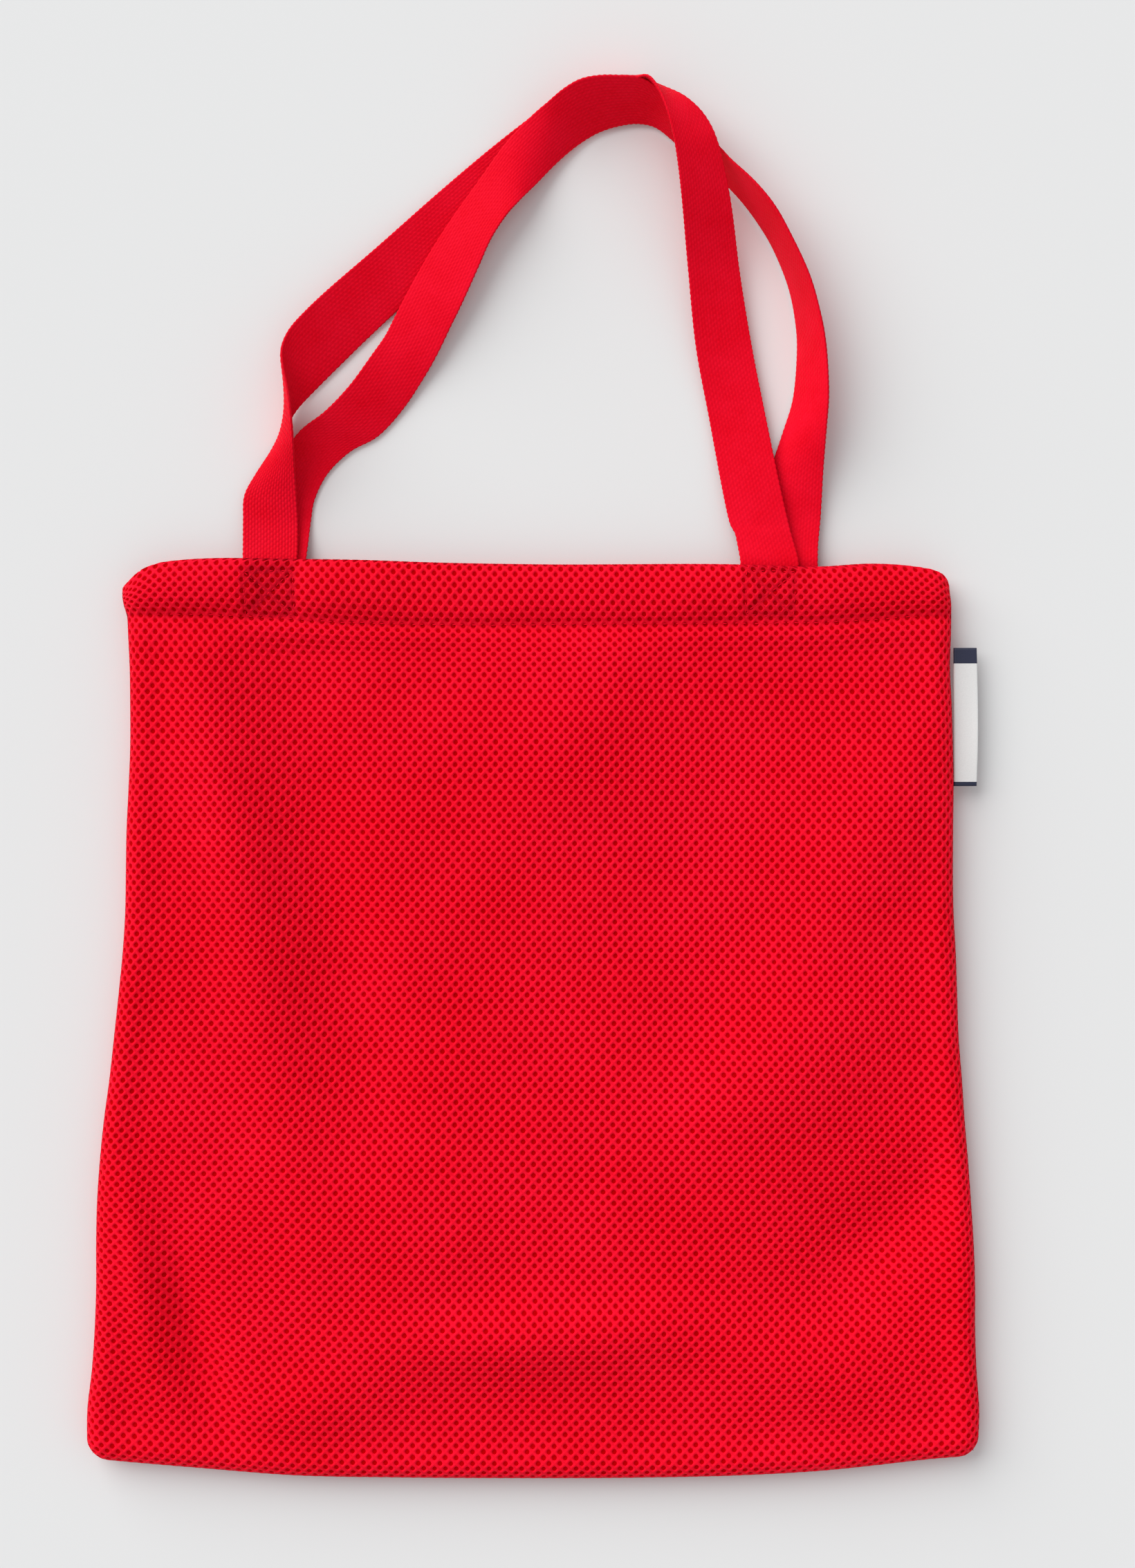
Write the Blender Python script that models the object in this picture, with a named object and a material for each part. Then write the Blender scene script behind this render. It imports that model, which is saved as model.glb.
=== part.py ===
"""Foldable tote bag in spacer mesh, lying flat on its back panel.

Frame: metres, +Z up out of the front panel, +Y towards the handles, +X to the
right. The origin is under the middle of the whole object, on the surface it
lies on. Lengths below are in millimetres and are turned into metres by MM.

Each fabric panel is one cut of mesh. It is divided into two solids at the
storage fold, because the bottom third folds up over the front. The webbing
straps are divided at the mouth edge, where the loop swings on its sewn ends.
"""
import math

import bpy

MM = 0.001
GAP = 0.3                  # clearance between pieces that touch
SHIFT = (0.06, -0.89, 0.0) # puts the origin under the middle of the whole object

# ---- bag body ---------------------------------------------------------------
Y_TOP = 94.6               # mouth edge
Y_BOTTOM = -309.6          # lowest point of the bottom edge
Y_FOLD = -175.0            # storage fold: one third of the height
Z_FRONT = 15.5             # outer face of the front panel
Z_SEAM = 7.5               # height of the side and bottom seams
FABRIC = 3.0               # spacer mesh thickness
EDGE_R = 10.0              # how far in the turned edges curve
HEM_DEPTH = 26.0
HEM_FRONT_OUT = 14.6
HEM_FRONT_IN = 9.9
HEM_BACK_OUT = 0.9
HEM_BACK_IN = 5.3
FOLD_AXIS_Z = Z_FRONT + 2.0

# half outline of the bag: y, left edge x, right edge x
SIDES = [
    (-330.0, -196.9, 196.9), (-280.0, -196.7, 196.7), (-243.0, -193.8, 195.2),
    (-207.0, -192.6, 194.0), (-170.0, -191.0, 191.9), (-134.0, -187.0, 189.2),
    (-97.0, -183.0, 187.2), (-60.0, -180.2, 185.8), (0.0, -178.5, 185.2),
    (50.0, -178.3, 184.0), (94.6, -179.4, 183.6), (110.0, -179.6, 183.6),
]
# bottom edge: x, y
HEMLINE = [
    (-200.0, -300.6), (-180.0, -302.5), (-147.0, -305.3), (-104.0, -308.6),
    (-60.0, -309.5), (46.0, -309.6), (88.0, -308.7), (131.0, -306.2),
    (174.0, -301.5), (200.0, -299.5),
]

# ---- webbing ----------------------------------------------------------------
WEB_T = 1.4                # webbing thickness
Z_FRONT_STRAP = 8.95       # middle of the front strap's sewn ends
Z_BACK_STRAP = 6.25
LOOP_START = 0.6           # the loops start this far past the mouth edge
PIVOT_Y = 96.8             # both loops swing about one line at the mouth edge
PIVOT_Z = 14.0

# Stations along each loop, from the left end to the right end:
# inner edge x, y, z and outer edge x, y, z
FRONT_LOOP = [
    (-128.0, 95.2, 8.95, -104.0, 95.2, 8.95),
    (-128.3, 102.5, 6.6, -104.0, 102.5, 6.6),
    (-128.6, 112.0, 4.2, -104.2, 112.0, 4.4),
    (-128.6, 122.0, 3.6, -104.6, 122.0, 4.8),
    (-126.2, 129.6, 3.2, -104.5, 131.8, 7.5),
    (-117.8, 139.7, 2.4, -103.7, 145.4, 15.5),
    (-106.0, 158.6, 1.6, -104.6, 161.6, 23.0),
    (-97.6, 172.5, 1.2, -109.6, 181.5, 20.5),
    (-86.3, 183.0, 1.0, -105.0, 196.4, 12.5),
    (-72.0, 195.8, 1.0, -89.4, 214.1, 7.0),
    (-50.6, 215.6, 1.0, -68.0, 234.0, 4.6),
    (-26.2, 239.1, 1.0, -43.6, 256.5, 3.2),
    (-3.4, 261.4, 1.0, -20.4, 276.6, 2.4),
    (14.6, 279.4, 1.0, 0.6, 293.4, 1.6),
    (23.6, 291.2, 1.0, 12.4, 301.4, 1.2),
    (30.6, 301.6, 1.2, 22.6, 307.4, 1.2),
    (37.4, 307.0, 5.5, 33.2, 310.4, 1.2),
    (43.8, 306.4, 13.5, 42.4, 310.4, 1.6),
    (51.2, 303.6, 21.5, 53.4, 305.9, 3.6),
    (56.4, 295.0, 23.5, 65.8, 296.2, 9.6),
    (59.4, 284.2, 20.5, 76.6, 285.4, 10.2),
    (62.6, 269.0, 15.5, 82.8, 270.2, 10.2),
    (65.0, 250.8, 10.0, 87.2, 249.0, 8.4),
    (68.0, 223.4, 4.0, 91.2, 221.0, 5.0),
    (71.8, 189.8, 2.2, 96.4, 191.2, 3.4),
    (77.8, 158.6, 2.4, 101.8, 163.8, 3.8),
    (83.2, 129.0, 3.6, 108.2, 131.8, 6.0),
    (87.6, 111.8, 5.2, 112.6, 112.8, 6.2),
    (89.8, 102.5, 7.2, 115.0, 102.5, 7.4),
    (91.2, 95.2, 8.95, 116.8, 95.2, 8.95),
]
BACK_LOOP = [
    (-100.4, 95.2, 6.25, -124.8, 95.2, 6.25),
    (-99.8, 102.5, 3.6, -124.4, 102.5, 3.8),
    (-98.8, 112.8, 1.2, -123.4, 112.4, 1.4),
    (-97.0, 122.9, 1.0, -121.2, 123.8, 1.0),
    (-91.2, 134.2, 1.0, -114.2, 137.4, 1.0),
    (-81.1, 144.0, 1.2, -103.6, 151.8, 1.0),
    (-69.0, 150.7, 2.4, -92.0, 159.8, 1.0),
    (-58.2, 162.2, 3.8, -81.2, 171.4, 1.0),
    (-49.0, 175.4, 5.0, -70.4, 187.4, 1.4),
    (-36.8, 197.4, 5.6, -61.8, 201.0, 3.6),
    (-31.4, 208.0, 5.4, -55.2, 214.8, 5.0),
    (-22.6, 226.9, 5.2, -46.0, 231.0, 6.0),
    (-15.0, 241.6, 5.0, -34.0, 247.6, 6.2),
    (-2.8, 256.8, 4.6, -20.2, 269.0, 6.0),
    (12.6, 273.4, 4.0, -7.0, 285.6, 5.6),
    (22.6, 282.2, 3.6, 7.4, 296.4, 5.4),
    (29.6, 286.1, 3.2, 22.6, 305.0, 6.0),
    (38.4, 288.4, 3.0, 37.2, 305.2, 6.4),
    (48.6, 288.2, 2.6, 50.8, 302.6, 5.6),
    (56.2, 281.4, 1.8, 62.2, 294.8, 4.4),
    (64.4, 268.8, 1.2, 72.4, 285.2, 3.8),
    (73.6, 259.0, 1.2, 81.0, 275.2, 4.6),
    (84.6, 253.0, 1.2, 88.8, 267.2, 12.0),
    (94.4, 249.0, 1.2, 95.8, 259.5, 18.5),
    (101.0, 243.4, 1.2, 101.3, 253.2, 21.8),
    (107.2, 233.0, 1.2, 108.2, 242.4, 23.0),
    (111.8, 221.4, 1.2, 115.0, 226.3, 23.6),
    (115.0, 209.8, 1.2, 121.1, 211.7, 23.8),
    (116.8, 188.8, 1.2, 126.3, 189.8, 23.4),
    (115.2, 166.8, 1.2, 128.8, 168.0, 21.4),
    (110.6, 151.6, 1.2, 128.4, 153.2, 17.2),
    (104.2, 131.8, 1.0, 127.8, 134.8, 9.0),
    (102.2, 115.0, 1.0, 127.2, 116.0, 4.4),
    (101.2, 103.0, 3.4, 126.0, 103.0, 4.6),
    (100.9, 95.2, 6.25, 125.6, 95.2, 6.25),
]

# ---- label ------------------------------------------------------------------
LABEL_X0 = 186.0           # hinge line just outside the right seam
LABEL_W = 10.2
LABEL_Y0, LABEL_Y1 = -4.6, 56.4
LABEL_T = 1.6


# ---- helpers ----------------------------------------------------------------
def interp(table, key, column):
    """Smooth value of a column of a table that is sorted by its first entry."""
    n = len(table)
    if key <= table[0][0]:
        return table[0][column]
    if key >= table[-1][0]:
        return table[-1][column]
    i = max(k for k in range(n - 1) if table[k][0] <= key)
    k0, k1 = table[i][0], table[i + 1][0]
    t = (key - k0) / (k1 - k0)

    def slope(j):
        if j == 0 or j == n - 1:
            return 0.0
        return (table[j + 1][column] - table[j - 1][column]) / (table[j + 1][0] - table[j - 1][0])

    h = k1 - k0
    p0, p1 = table[i][column], table[i + 1][column]
    m0, m1 = slope(i) * h, slope(i + 1) * h
    return ((2 * t**3 - 3 * t**2 + 1) * p0 + (t**3 - 2 * t**2 + t) * m0
            + (-2 * t**3 + 3 * t**2) * p1 + (t**3 - t**2) * m1)


def material(name, color, roughness, metallic=0.0):
    mat = bpy.data.materials.new(name)
    mat.use_nodes = True
    shader = mat.node_tree.nodes["Principled BSDF"]
    shader.inputs["Base Color"].default_value = (*color, 1.0)
    shader.inputs["Roughness"].default_value = roughness
    shader.inputs["Metallic"].default_value = metallic
    mat.diffuse_color = (*color, 1.0)
    return mat


def add_object(name, verts, faces, mat, origin=(0.0, 0.0, 0.0), parent=None):
    """A mesh object from millimetre points, its origin at the given point."""
    mesh = bpy.data.meshes.new(name)
    mesh.from_pydata([tuple((p[k] - origin[k]) * MM for k in range(3)) for p in verts], [], faces)
    mesh.materials.append(mat)
    mesh.validate()
    obj = bpy.data.objects.new(name, mesh)
    bpy.context.collection.objects.link(obj)
    obj.location = tuple((origin[k] + SHIFT[k]) * MM for k in range(3))
    if parent is not None:
        obj.location = (0.0, 0.0, 0.0)
        obj.parent = parent
    return obj


def empty(name, origin):
    obj = bpy.data.objects.new(name, None)
    bpy.context.collection.objects.link(obj)
    obj.location = tuple((origin[k] + SHIFT[k]) * MM for k in range(3))
    obj.empty_display_size = 0.02
    return obj


def crown(t):
    """Quarter-round profile, 0 at the edge and 1 once the edge curve ends."""
    t = min(max(t, 0.0), 1.0)
    return math.sqrt(max(0.0, 1.0 - (1.0 - t) ** 2))


def inset_rows(first, last, near_first, near_last, inner):
    """Coordinates from first to last, with rings close to the curved ends."""
    rings = [0.0, 1.0, 3.0, 6.0]
    out = []
    if near_first:
        out += [first + r for r in rings]
        first += EDGE_R
    if near_last:
        last -= EDGE_R
    count = inner
    out += [first + (last - first) * i / count for i in range(count + 1)]
    if near_last:
        out += [last + EDGE_R - r for r in reversed(rings)]
    return out


def panel(name, front, y0, y1, bottom, hem, mat, origin=(0, 0, 0), parent=None):
    """One half of a fabric panel: a thin shell that curves to the seam.

    The grid is laid in "inset" coordinates, the distances from the left edge,
    the right edge and the bottom edge, so its outer ring follows the outline.
    """
    width = 1000.0                       # nominal grid width, mapped to the real one
    cols = inset_rows(0.0, width, True, True, 9)
    if hem:
        y_hem = Y_TOP - HEM_DEPTH
        rows = [y0 + (y_hem - 8.0 - y0) * i / 6 for i in range(7)]
        rows += [y_hem - 2.5, y_hem - 0.6, y_hem + 0.6, y_hem + 3.0, y_hem + 12.0,
                 Y_TOP - 5.0, Y_TOP - 1.8, Y_TOP - 0.5, Y_TOP]
    elif bottom:
        rows = [("b", r) for r in (0.0, 1.0, 3.0, 6.0, 10.0)]
        rows += [("t", i / 5) for i in range(1, 6)]
    else:
        rows = [y0 + (y1 - y0) * i / 6 for i in range(7)]

    def place(c, row, thick):
        """Plan position and effective inset of one grid point."""
        dl, dr = c, width - c
        side = min(dl, dr)
        if isinstance(row, tuple) and row[0] == "b":
            db = row[1]
        else:
            db = EDGE_R
        side_d = min(side, EDGE_R)
        if side_d < EDGE_R and db < EDGE_R:
            a, b = 1 - side_d / EDGE_R, 1 - db / EDGE_R
            r = max(a, b)
            length = math.hypot(a, b)
            a, b = a * r / length, b * r / length
            d_eff = EDGE_R * (1 - r)
            side_d, db = EDGE_R * (1 - a), EDGE_R * (1 - b)
        else:
            d_eff = min(side_d, db)
        shrink = (EDGE_R - thick) / EDGE_R
        s_in = EDGE_R - (EDGE_R - side_d) * shrink
        b_in = EDGE_R - (EDGE_R - db) * shrink
        y_nominal = None
        if isinstance(row, tuple):
            if row[0] == "t":
                y_nominal = None
            y_ref = -290.0
        else:
            y_ref = row
        # fraction across the flat middle of the panel
        f = min(max((c - EDGE_R) / (width - 2 * EDGE_R), 0.0), 1.0)
        for _ in range(3):
            xl, xr = interp(SIDES, y_ref, 1), interp(SIDES, y_ref, 2)
            if side < EDGE_R:
                x = xl + s_in if dl < dr else xr - s_in
            else:
                x = (xl + EDGE_R) + f * (xr - xl - 2 * EDGE_R)
            if isinstance(row, tuple):
                yb = interp(HEMLINE, x, 1)
                if row[0] == "b":
                    y_ref = yb + b_in
                else:
                    y_ref = yb + EDGE_R + (y1 - yb - EDGE_R) * row[1]
            else:
                y_ref = row
        return x, y_ref, d_eff

    def heights(y):
        """Outer height, inner height and thickness of the panel at one y."""
        y_hem = Y_TOP - HEM_DEPTH
        if not hem or y < y_hem - 3.0:
            return (Z_FRONT, Z_FRONT - FABRIC, FABRIC) if front else (0.0, FABRIC, FABRIC)
        if front:
            out, inn = HEM_FRONT_OUT, HEM_FRONT_IN
            thick = 4.6
            if y < y_hem:
                return out - 0.7, Z_FRONT - FABRIC - 1.6, FABRIC
            if y < y_hem + 1.5:
                return out - 0.7, inn, thick
            fall = max(0.0, y - (Y_TOP - 1.8)) / 1.8
            return out - 1.4 * fall**2, inn + 0.9 * fall**2, thick
        out, inn = HEM_BACK_OUT, HEM_BACK_IN
        thick = 4.6
        if y < y_hem:
            return out + 0.4, FABRIC + 1.4, FABRIC
        if y < y_hem + 1.5:
            return out + 0.4, inn, thick
        fall = max(0.0, y - (Y_TOP - 1.8)) / 1.8
        return out + 1.2 * fall**2, inn - 0.9 * fall**2, thick

    rim = Z_SEAM + (GAP / 2 if front else -GAP / 2)
    n_cols, n_rows = len(cols), len(rows)
    verts = []
    for layer in ("out", "in"):
        for row in rows:
            for c in cols:
                y_probe = row if not isinstance(row, tuple) else -290.0
                out, inn, thick = heights(y_probe)
                x, y, d = place(c, row, 0.0 if layer == "out" else thick)
                if layer == "out":
                    z = rim + (out - rim) * crown(d / EDGE_R)
                else:
                    z = rim + (inn - rim) * crown(d / EDGE_R)
                verts.append((x, y, z))
    faces = []
    off = n_cols * n_rows

    def vid(layer, r, c):
        return layer * off + r * n_cols + c

    for r in range(n_rows - 1):
        for c in range(n_cols - 1):
            quad = (vid(0, r, c), vid(0, r, c + 1), vid(0, r + 1, c + 1), vid(0, r + 1, c))
            quad_in = (vid(1, r, c), vid(1, r + 1, c), vid(1, r + 1, c + 1), vid(1, r, c + 1))
            faces.append(quad if front else tuple(reversed(quad)))
            faces.append(quad_in if front else tuple(reversed(quad_in)))
    ring = [(0, c) for c in range(n_cols)] + [(r, n_cols - 1) for r in range(1, n_rows)]
    ring += [(n_rows - 1, c) for c in range(n_cols - 2, -1, -1)] + [(r, 0) for r in range(n_rows - 2, 0, -1)]
    for i, (r, c) in enumerate(ring):
        r2, c2 = ring[(i + 1) % len(ring)]
        quad = (vid(0, r, c), vid(1, r, c), vid(1, r2, c2), vid(0, r2, c2))
        faces.append(quad if front else tuple(reversed(quad)))
    return add_object(name, verts, faces, mat, origin, parent)


def catmull(points, per_span):
    """A smooth curve through the points, with the given steps in each span."""
    out = []
    n = len(points)
    for i in range(n - 1):
        p0, p1 = points[max(i - 1, 0)], points[i]
        p2, p3 = points[i + 1], points[min(i + 2, n - 1)]
        for k in range(per_span):
            t = k / per_span
            out.append(tuple(
                0.5 * (2 * p1[j] + (p2[j] - p0[j]) * t
                       + (2 * p0[j] - 5 * p1[j] + 4 * p2[j] - p3[j]) * t**2
                       + (3 * p1[j] - p0[j] - 3 * p2[j] + p3[j]) * t**3)
                for j in range(len(p1))))
    out.append(tuple(points[-1]))
    return out


def sub(a, b):
    return (a[0] - b[0], a[1] - b[1], a[2] - b[2])


def cross(a, b):
    return (a[1] * b[2] - a[2] * b[1], a[2] * b[0] - a[0] * b[2], a[0] * b[1] - a[1] * b[0])


def unit(a):
    length = math.sqrt(sum(c * c for c in a)) or 1.0
    return tuple(c / length for c in a)


def strap(name, stations, mat, origin, parent):
    """A webbing loop: a flat band of even thickness through its stations."""
    rows = catmull(stations, 2)
    n = len(rows)
    verts, faces = [], []
    for i, s in enumerate(rows):
        a, b = s[:3], s[3:]
        before, after = rows[max(i - 1, 0)], rows[min(i + 1, n - 1)]
        along = unit(tuple((after[k] + after[k + 3] - before[k] - before[k + 3]) / 2 for k in range(3)))
        across = unit(sub(b, a))
        normal = unit(cross(across, along))
        h = WEB_T / 2
        mid = tuple((a[k] + b[k]) / 2 for k in range(3))
        for p in (a, mid, b):
            verts.append(tuple(p[k] + normal[k] * h for k in range(3)))
        for p in (b, mid, a):
            verts.append(tuple(p[k] - normal[k] * h for k in range(3)))
    for i in range(n - 1):
        for k in range(6):
            k2 = (k + 1) % 6
            faces.append((i * 6 + k, i * 6 + k2, (i + 1) * 6 + k2, (i + 1) * 6 + k))
    faces.append((0, 5, 4, 1))
    faces.append((1, 4, 3, 2))
    e = (n - 1) * 6
    faces.append((e, e + 1, e + 4, e + 5))
    faces.append((e + 1, e + 2, e + 3, e + 4))
    obj = add_object(name, verts, faces, mat, origin, parent)
    return obj


def slab(name, x0, x1, y0, y1, z0, z1, mat, origin=(0, 0, 0), parent=None):
    verts = [(x, y, z) for z in (z0, z1) for y in (y0, y1) for x in (x0, x1)]
    faces = [(0, 2, 3, 1), (4, 5, 7, 6), (0, 1, 5, 4), (2, 6, 7, 3), (0, 4, 6, 2), (1, 3, 7, 5)]
    return add_object(name, verts, faces, mat, origin, parent)


def box_x(name, cx, cy, w, h, bar, z0, z1, mat):
    """A box with a cross in it, as one plate with four triangular windows."""
    hw, hh = w / 2, h / 2
    iw, ih = hw - bar, hh - bar
    k = bar * 0.9
    plan = [(-hw, -hh), (hw, -hh), (hw, hh), (-hw, hh)]
    windows = [
        [(-iw + k, -ih), (iw - k, -ih), (0, -k)],
        [(iw, -ih + k), (iw, ih - k), (k, 0)],
        [(iw - k, ih), (-iw + k, ih), (0, k)],
        [(-iw, ih - k), (-iw, -ih + k), (-k, 0)],
    ]
    # faces between the outline and the windows, worked round the plate
    pts = plan + [p for win in windows for p in win]
    o = [0, 1, 2, 3]
    w1, w2, w3, w4 = [4, 5, 6], [7, 8, 9], [10, 11, 12], [13, 14, 15]
    flat = [
        (o[0], o[1], w1[1], w1[0]), (o[1], o[2], w2[1], w2[0]),
        (o[2], o[3], w3[1], w3[0]), (o[3], o[0], w4[1], w4[0]),
        (o[0], w1[0], w4[1]), (o[1], w2[0], w1[1]), (o[2], w3[0], w2[1]), (o[3], w4[0], w3[1]),
        (w1[0], w1[2], w4[2], w4[1]), (w2[0], w2[2], w1[2], w1[1]),
        (w3[0], w3[2], w2[2], w2[1]), (w4[0], w4[2], w3[2], w3[1]),
        (w1[2], w2[2], w3[2], w4[2]),
    ]
    n = len(pts)
    verts = [(cx + p[0], cy + p[1], z1) for p in pts] + [(cx + p[0], cy + p[1], z0) for p in pts]
    faces = list(flat) + [tuple(v + n for v in reversed(f)) for f in flat]
    for loop in (o, ):
        for i in range(4):
            a, b = loop[i], loop[(i + 1) % 4]
            faces.append((a, a + n, b + n, b))
    for loop in (w1, w2, w3, w4):
        for i in range(3):
            a, b = loop[i], loop[(i + 1) % 3]
            faces.append((b, b + n, a + n, a))
    return add_object(name, verts, faces, mat)


def rod(name, path, size, mat, origin=(0, 0, 0), parent=None):
    """A square thread along a path that stays at one height."""
    n = len(path)
    h = size / 2
    verts, faces = [], []
    for i, p in enumerate(path):
        a, b = path[max(i - 1, 0)], path[min(i + 1, n - 1)]
        along = unit((b[0] - a[0], b[1] - a[1], 0.0))
        side = (-along[1], along[0], 0.0)
        for su, sz in ((-1, -1), (1, -1), (1, 1), (-1, 1)):
            verts.append((p[0] + side[0] * h * su, p[1] + side[1] * h * su, p[2] + h * sz))
    for i in range(n - 1):
        for k in range(4):
            k2 = (k + 1) % 4
            faces.append((i * 4 + k, i * 4 + k2, (i + 1) * 4 + k2, (i + 1) * 4 + k))
    faces.append((3, 2, 1, 0))
    e = (n - 1) * 4
    faces.append((e, e + 1, e + 2, e + 3))
    return add_object(name, verts, faces, mat, origin, parent)


# ---- build ------------------------------------------------------------------
for old in list(bpy.data.objects):
    bpy.data.objects.remove(old, do_unlink=True)

mesh_red = material("spacer_mesh_red", (0.86, 0.01, 0.03), 0.75)
web_red = material("webbing_red", (0.80, 0.005, 0.03), 0.6)
thread_red = material("thread_red", (0.70, 0.01, 0.03), 0.5)
tape = material("label_tape", (0.86, 0.86, 0.86), 0.7)

# Upper two thirds of the bag, which the mouth, hems and label belong to.
panel("front_panel_upper", True, Y_FOLD + GAP / 2, Y_TOP, False, True, mesh_red)
panel("back_panel_upper", False, Y_FOLD + GAP / 2, Y_TOP, False, True, mesh_red)

# Bottom third, turning on the storage fold.
fold_axis = (0.0, Y_FOLD, FOLD_AXIS_Z)
fold = empty("storage_fold_axis", fold_axis)
panel("front_panel_lower", True, Y_BOTTOM, Y_FOLD - GAP / 2, True, False, mesh_red, fold_axis, fold)
panel("back_panel_lower", False, Y_BOTTOM, Y_FOLD - GAP / 2, True, False, mesh_red, fold_axis, fold)

# Handles: the loops swing together about the mouth edge.
pivot = (0.0, PIVOT_Y, PIVOT_Z)
handle_axis = empty("handle_axis", pivot)
strap("front_handle", FRONT_LOOP, web_red, pivot, handle_axis)
strap("back_handle", BACK_LOOP, web_red, pivot, handle_axis)

# Sewn ends of the webbing, inside the hems.
for label, stations, z in (("front", FRONT_LOOP, Z_FRONT_STRAP), ("back", BACK_LOOP, Z_BACK_STRAP)):
    for side, s in (("left", stations[0]), ("right", stations[-1])):
        xa, xb = sorted((s[0], s[3]))
        slab(f"{label}_handle_{side}_end", xa, xb, Y_TOP - HEM_DEPTH + 1.2, Y_TOP + LOOP_START - 0.35,
             z - WEB_T / 2, z + WEB_T / 2, web_red)
        cx = (xa + xb) / 2
        if label == "front":
            box_x(f"front_{side}_box_stitch", cx, Y_TOP - 14.5, 21.5, 19.5, 0.9,
                  HEM_FRONT_OUT + GAP, HEM_FRONT_OUT + GAP + 0.5, thread_red)
        else:
            box_x(f"back_{side}_box_stitch", cx, Y_TOP - 14.5, 21.5, 19.5, 0.9,
                  HEM_BACK_OUT - GAP - 0.5, HEM_BACK_OUT - GAP, thread_red)

# Hem stitching, one line along each hem.
y_line = Y_TOP - HEM_DEPTH
slab("front_hem_stitch", -166.0, 170.0, y_line - 0.45, y_line + 0.45,
     HEM_FRONT_OUT - 0.7 + GAP, HEM_FRONT_OUT - 0.7 + GAP + 0.6, thread_red)
slab("back_hem_stitch", -166.0, 170.0, y_line - 0.45, y_line + 0.45,
     HEM_BACK_OUT + 0.4 - GAP - 0.6, HEM_BACK_OUT + 0.4 - GAP, thread_red)


# Seam threads, in the angle where the two panels meet inside.
def seam_path(side, y_from, y_to, steps, inset):
    out = []
    for i in range(steps + 1):
        y = y_from + (y_to - y_from) * i / steps
        x = interp(SIDES, y, 1 if side == "left" else 2)
        out.append((x + inset if side == "left" else x - inset, y, Z_SEAM))
    return out


SEAM_IN = FABRIC + 2.2
rod("left_side_seam", seam_path("left", Y_FOLD + 1.0, Y_TOP - HEM_DEPTH - 2.0, 10, SEAM_IN), 0.9, thread_red)
rod("right_side_seam", seam_path("right", Y_FOLD + 1.0, Y_TOP - HEM_DEPTH - 2.0, 10, SEAM_IN), 0.9, thread_red)

down = seam_path("left", Y_FOLD - 1.0, -288.0, 5, SEAM_IN)
up = list(reversed(seam_path("right", Y_FOLD - 1.0, -288.0, 5, SEAM_IN)))
bottom_run = []
for i in range(13):
    x = -180.0 + 360.0 * i / 12
    bottom_run.append((x, interp(HEMLINE, x, 1) + SEAM_IN, Z_SEAM))
corner_l = [(-191.1, -292.0, Z_SEAM), (-188.6, -295.6, Z_SEAM), (-184.8, -297.2, Z_SEAM)]
corner_r = [(184.6, -295.8, Z_SEAM), (188.4, -294.4, Z_SEAM), (191.1, -291.0, Z_SEAM)]
rod("bottom_seam", down + corner_l + bottom_run + corner_r + up, 0.9, thread_red, fold_axis, fold)

# Label: a folded tape sewn into the right seam, turning on the seam.
label_axis_at = (LABEL_X0, 0.0, Z_SEAM)
label_axis = empty("label_axis", label_axis_at)
slab("side_label", LABEL_X0 + 0.2, LABEL_X0 + LABEL_W, LABEL_Y0, LABEL_Y1,
     Z_SEAM - LABEL_T / 2, Z_SEAM + LABEL_T / 2, tape, label_axis_at, label_axis)
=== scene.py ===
"""Looks of the foldable tote bag: open spacer mesh, turned hems, woven webbing
handles, sewing threads and a folded side tape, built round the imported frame.

Lengths in this file are in millimetres and become metres through MM. They are
in the row frame before SHIFT, as in the design of the frame.
"""
import math

import bpy
import numpy as np
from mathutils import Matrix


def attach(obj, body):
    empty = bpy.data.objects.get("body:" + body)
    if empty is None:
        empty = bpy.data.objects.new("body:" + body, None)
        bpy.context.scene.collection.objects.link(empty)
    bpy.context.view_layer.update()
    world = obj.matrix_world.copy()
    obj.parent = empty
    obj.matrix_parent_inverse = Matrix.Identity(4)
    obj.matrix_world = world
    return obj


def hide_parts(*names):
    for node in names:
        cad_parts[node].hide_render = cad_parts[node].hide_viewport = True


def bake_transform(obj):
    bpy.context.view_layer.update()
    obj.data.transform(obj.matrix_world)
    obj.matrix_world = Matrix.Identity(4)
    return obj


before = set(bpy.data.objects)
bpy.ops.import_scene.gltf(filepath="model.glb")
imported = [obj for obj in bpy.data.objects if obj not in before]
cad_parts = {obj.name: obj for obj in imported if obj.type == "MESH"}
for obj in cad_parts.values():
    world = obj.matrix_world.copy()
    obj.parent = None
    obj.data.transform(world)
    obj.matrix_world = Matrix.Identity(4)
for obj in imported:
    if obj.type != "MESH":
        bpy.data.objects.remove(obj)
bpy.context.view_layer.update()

MM = 0.001
SHIFT = np.array([0.06, -0.89, 0.0])

Y_TOP, Y_BOTTOM, Y_FOLD = 94.6, -309.6, -175.0
Y_HEM = Y_TOP - 26.0
Z_SEAM = 7.5
Z_FRONT = 15.5
FABRIC = 3.0


# ---------------------------------------------------------------------------
# small helpers
# ---------------------------------------------------------------------------
def smoothstep(a, b, x):
    t = np.clip((np.asarray(x, float) - a) / (b - a), 0.0, 1.0)
    return t * t * (3 - 2 * t)


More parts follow.
